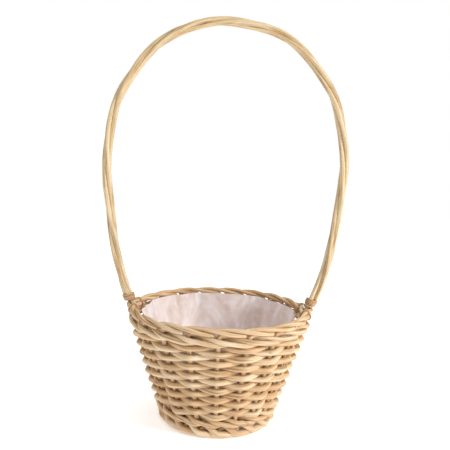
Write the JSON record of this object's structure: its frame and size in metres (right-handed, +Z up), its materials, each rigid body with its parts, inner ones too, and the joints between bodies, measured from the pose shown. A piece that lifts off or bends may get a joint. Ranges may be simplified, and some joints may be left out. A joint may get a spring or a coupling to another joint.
{
  "type": "willow basket with tall hoop handle",
  "caption": "Round tapered peeled-willow basket, randed wall between wales, roped border, tall fixed twisted hoop handle and thin film liner.",
  "frame": {"origin": "on the floor under the middle of the base", "axes": "+Z up along the basket's axis; X across the width in the plane of the handle; the front faces -Y"},
  "size_m": [0.2706, 0.2002, 0.4381],
  "materials": {
    "willow_weavers": "peeled and dried willow, satin",
    "willow_stakes": "peeled and dried willow, satin",
    "willow_wale": "peeled and dried willow, satin",
    "willow_sticks": "peeled and dried willow, satin",
    "willow_fine": "peeled and dried willow, satin",
    "willow_handle": "peeled and dried willow, satin",
    "willow_bindings": "split willow skein, satin",
    "liner_film": "thin translucent film, soft gloss"
  },
  "bodies": {
    "root": {"base_slit_sticks": "willow_sticks", "base_threaded_sticks": "willow_sticks", "base_weaving_inner": "willow_fine", "base_weaving_outer": "willow_fine", "stake_00": "willow_stakes", "stake_01": "willow_stakes", "stake_02": "willow_stakes", "stake_03": "willow_stakes", "stake_04": "willow_stakes", "stake_05": "willow_stakes", "stake_06": "willow_stakes", "stake_07": "willow_stakes", "stake_08": "willow_stakes", "stake_09": "willow_stakes", "stake_10": "willow_stakes", "stake_11": "willow_stakes", "stake_12": "willow_stakes", "stake_13": "willow_stakes", "stake_14": "willow_stakes", "stake_15": "willow_stakes", "stake_16": "willow_stakes", "stake_17": "willow_stakes", "stake_18": "willow_stakes", "stake_19": "willow_stakes", "foot_wale_a": "willow_wale", "foot_wale_b": "willow_wale", "foot_wale_c": "willow_wale", "lower_wale_a": "willow_wale", "lower_wale_b": "willow_wale", "lower_wale_c": "willow_wale", "top_wale_a": "willow_wale", "top_wale_b": "willow_wale", "top_wale_c": "willow_wale", "weaver_row_01": "willow_weavers", "weaver_row_02": "willow_weavers", "weaver_row_03": "willow_weavers", "weaver_row_04": "willow_weavers", "weaver_row_05": "willow_weavers", "weaver_row_06": "willow_weavers", "weaver_row_07": "willow_weavers", "weaver_row_08": "willow_weavers", "weaver_row_09": "willow_weavers", "weaver_row_10": "willow_weavers", "weaver_row_11": "willow_weavers", "weaver_row_12": "willow_weavers", "weaver_row_13": "willow_weavers", "weaver_row_14": "willow_weavers", "weaver_row_15": "willow_weavers", "weaver_row_16": "willow_weavers", "handle_bow_rod": "willow_handle", "handle_twist_rod_1": "willow_handle", "handle_twist_rod_2": "willow_handle", "handle_collar_left": "willow_bindings", "border_ties_left": "willow_bindings", "handle_collar_right": "willow_bindings", "border_ties_right": "willow_bindings", "film_liner": "liner_film"}
  },
  "joints": []
}
